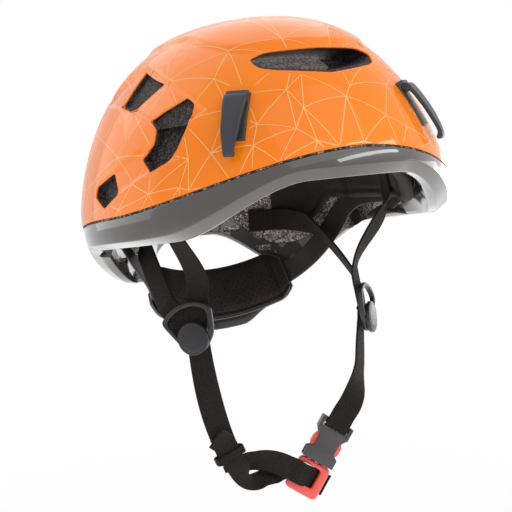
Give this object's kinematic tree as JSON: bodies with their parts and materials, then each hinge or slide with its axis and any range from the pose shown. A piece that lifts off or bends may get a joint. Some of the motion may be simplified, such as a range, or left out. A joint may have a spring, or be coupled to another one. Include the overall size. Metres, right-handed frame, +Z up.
{
  "type": "climbing helmet",
  "caption": "Climbing helmet with a glossy vented shell over a foam liner, headlamp clips, tilting headband and a webbing chin strap with a side-release buckle.",
  "frame": {"origin": "middle of the head opening at the shell's widest level, on the mirror plane", "axes": "+X to the wearer's left, -Y to the front, +Z up through the crown"},
  "size_m": [0.2198, 0.2728, 0.3008],
  "materials": {
    "orange_shell": "glossy moulded shell with a fine printed line pattern",
    "grey_shell": "semi-gloss moulded shell",
    "liner_foam": "dark moulded bead foam",
    "base_plastic": "matt moulded plastic",
    "clip_plastic": "satin moulded plastic",
    "pad_fabric": "brushed fabric over soft foam",
    "band_plastic": "smooth black plastic",
    "cradle_plastic": "satin grey plastic",
    "webbing": "woven black webbing",
    "divider_plastic": "satin moulded plastic",
    "disc_plastic": "satin moulded plastic",
    "keeper_elastic": "knitted elastic",
    "buckle_grey": "satin moulded plastic",
    "buckle_red": "satin red plastic"
  },
  "bodies": {
    "shell": {"outer_shell": "orange_shell", "lower_shell": "grey_shell", "foam_liner": "liner_foam", "front_clip_bases": "base_plastic", "rear_clip_bases": "base_plastic", "wall_pad": "pad_fabric", "temple_studs": "base_plastic", "strap_anchors": "base_plastic", "right_front_strap": "webbing", "left_front_strap": "webbing", "right_rear_strap": "webbing", "left_rear_strap": "webbing", "right_divider": "divider_plastic", "left_divider": "divider_plastic", "right_chin_strap": "webbing", "left_chin_strap": "webbing", "chin_loop": "webbing", "chin_tail": "webbing", "strap_keeper": "keeper_elastic", "buckle_socket": "buckle_grey"},
    "front_left_clip": {"front_left_clip": "clip_plastic"},
    "front_right_clip": {"front_right_clip": "clip_plastic"},
    "rear_left_clip": {"rear_left_clip": "clip_plastic"},
    "rear_right_clip": {"rear_right_clip": "clip_plastic"},
    "headband": {"headband": "band_plastic", "nape_cradle": "cradle_plastic", "nape_pad": "pad_fabric"},
    "right_lock_disc": {"right_lock_disc": "disc_plastic"},
    "left_lock_disc": {"left_lock_disc": "disc_plastic"},
    "plug": {"buckle_plug": "buckle_red"},
    "left_prong": {"left_prong": "buckle_red"},
    "right_prong": {"right_prong": "buckle_red"}
  },
  "joints": [
    {"name": "front_left_clip_flex", "type": "hinge", "parent": "shell", "child": "front_left_clip", "pos_m": [0.05478, -0.10662, 0.05312], "axis": [-0.7166, -0.6927, -0.0821], "range_deg": [0, 12], "stiffness_Nm_per_rad": 0.6},
    {"name": "front_right_clip_flex", "type": "hinge", "parent": "shell", "child": "front_right_clip", "pos_m": [-0.05478, -0.10662, 0.05312], "axis": [-0.7166, 0.6927, 0.0821], "range_deg": [0, 12], "stiffness_Nm_per_rad": 0.6},
    {"name": "rear_left_clip_flex", "type": "hinge", "parent": "shell", "child": "rear_left_clip", "pos_m": [0.0497, 0.10201, 0.05255], "axis": [0.6679, -0.6762, 0.3109], "range_deg": [0, 12], "stiffness_Nm_per_rad": 0.6},
    {"name": "rear_right_clip_flex", "type": "hinge", "parent": "shell", "child": "rear_right_clip", "pos_m": [-0.0497, 0.10201, 0.05255], "axis": [0.6679, 0.6762, -0.3109], "range_deg": [0, 12], "stiffness_Nm_per_rad": 0.6},
    {"name": "headband_tilt", "type": "hinge", "parent": "shell", "child": "headband", "pos_m": [0, -0.01, -0.003], "axis": [-1, 0, 0], "range_deg": [0, 18]},
    {"name": "right_lock_turn", "type": "hinge", "parent": "shell", "child": "right_lock_disc", "pos_m": [-0.06265, -0.02536, -0.0795], "axis": [-0.7193, -0.6947, 0], "range_deg": [0, 90]},
    {"name": "left_lock_turn", "type": "hinge", "parent": "shell", "child": "left_lock_disc", "pos_m": [0.05565, -0.02536, -0.0825], "axis": [0.7193, -0.6947, 0], "range_deg": [-90, 0]},
    {"name": "buckle_release", "type": "slide", "parent": "shell", "child": "plug", "axis": [-0.5523, 0.201, -0.809], "range_m": [0, 0.026], "deforming": ["chin_loop", "chin_tail"]},
    {"name": "left_prong_squeeze", "type": "hinge", "parent": "plug", "child": "left_prong", "pos_m": [0.00912, -0.03114, -0.17027], "axis": [-0.342, -0.9397, 0], "range_deg": [0, 8], "stiffness_Nm_per_rad": 0.2},
    {"name": "right_prong_squeeze", "type": "hinge", "parent": "plug", "child": "right_prong", "pos_m": [0.00122, -0.02826, -0.16416], "axis": [0.342, 0.9397, 0], "range_deg": [0, 8], "stiffness_Nm_per_rad": 0.2}
  ]
}
